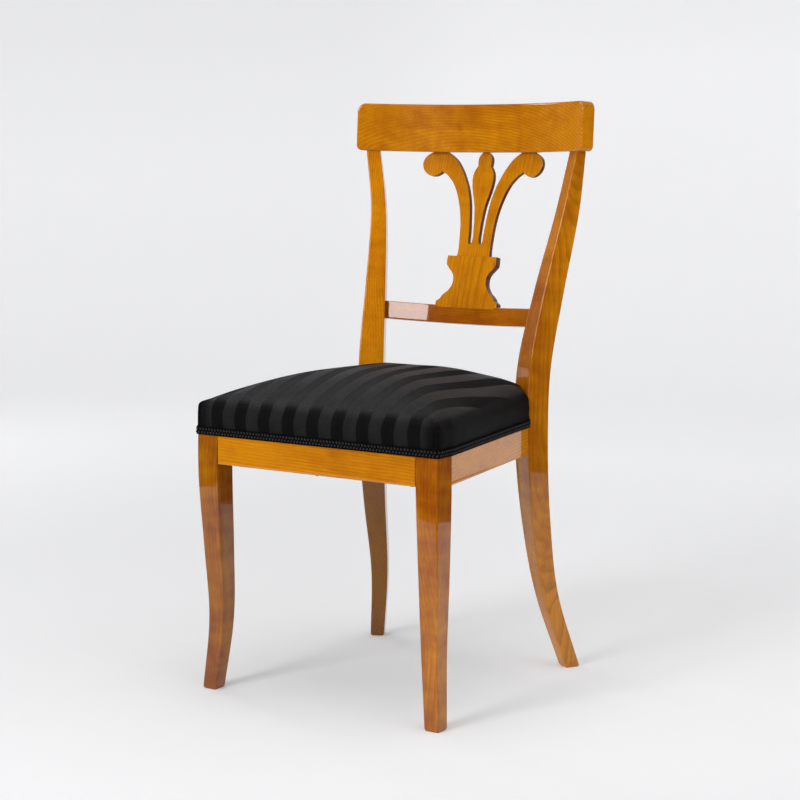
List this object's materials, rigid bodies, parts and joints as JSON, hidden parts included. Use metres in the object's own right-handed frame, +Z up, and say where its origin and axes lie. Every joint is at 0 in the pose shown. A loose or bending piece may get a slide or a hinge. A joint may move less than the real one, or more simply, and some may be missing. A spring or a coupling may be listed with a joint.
{
  "type": "dining chair",
  "caption": "Armless dining chair with a bent crest rail, a palmette splat on a plinth, a curved stay rail, sabre legs and a domed stuff-over seat.",
  "frame": {"origin": "on the floor, under the middle of the chair's bounding box", "axes": "+Z up, -Y towards the front of the seat, +X to the right as seen from the front"},
  "size_m": [0.441, 0.4908, 0.8903],
  "materials": {
    "cherry": "gloss",
    "pale_wood": "matte",
    "striped_silk": "satin",
    "braid": "matte",
    "lining": "matte",
    "jute": "matte",
    "curled_hair": "matte",
    "blue_steel": "satin"
  },
  "bodies": {
    "root": {"front_leg_right": "cherry", "front_leg_left": "cherry", "rear_leg_right": "cherry", "rear_leg_left": "cherry", "side_rail_right": "cherry", "side_rail_left": "cherry", "front_rail": "cherry", "rear_rail": "cherry", "crest_rail": "cherry", "stay_rail": "cherry", "splat_palmette": "cherry", "splat_plinth": "cherry", "splat_dowel_1": "pale_wood", "splat_dowel_2": "pale_wood", "splat_dowel_3": "pale_wood", "splat_dowel_4": "pale_wood", "splat_dowel_5": "pale_wood", "front_corner_block_right": "pale_wood", "front_corner_block_left": "pale_wood", "rear_corner_block_right": "pale_wood", "rear_corner_block_left": "pale_wood", "block_screw_1_right": "blue_steel", "block_screw_1_left": "blue_steel", "block_screw_2_right": "blue_steel", "block_screw_2_left": "blue_steel", "block_screw_3_right": "blue_steel", "block_screw_3_left": "blue_steel", "block_screw_4_right": "blue_steel", "block_screw_4_left": "blue_steel", "webbing_long_1": "jute", "webbing_long_2": "jute", "webbing_long_3": "jute", "webbing_cross_1": "jute", "webbing_cross_2": "jute", "webbing_cross_3": "jute", "webbing_cross_4": "jute", "hessian": "jute", "seat_stuffing": "curled_hair", "seat_cover": "striped_silk", "gimp_front": "braid", "gimp_rear": "braid", "dust_cover": "lining", "dust_tack_1": "blue_steel", "dust_tack_2": "blue_steel", "dust_tack_3": "blue_steel", "dust_tack_4": "blue_steel", "dust_tack_5": "blue_steel", "dust_tack_6": "blue_steel", "dust_tack_7": "blue_steel", "dust_tack_8": "blue_steel", "dust_tack_9": "blue_steel", "dust_tack_10": "blue_steel", "dust_tack_11": "blue_steel", "dust_tack_12": "blue_steel", "dust_tack_13": "blue_steel", "dust_tack_14": "blue_steel"}
  },
  "joints": []
}
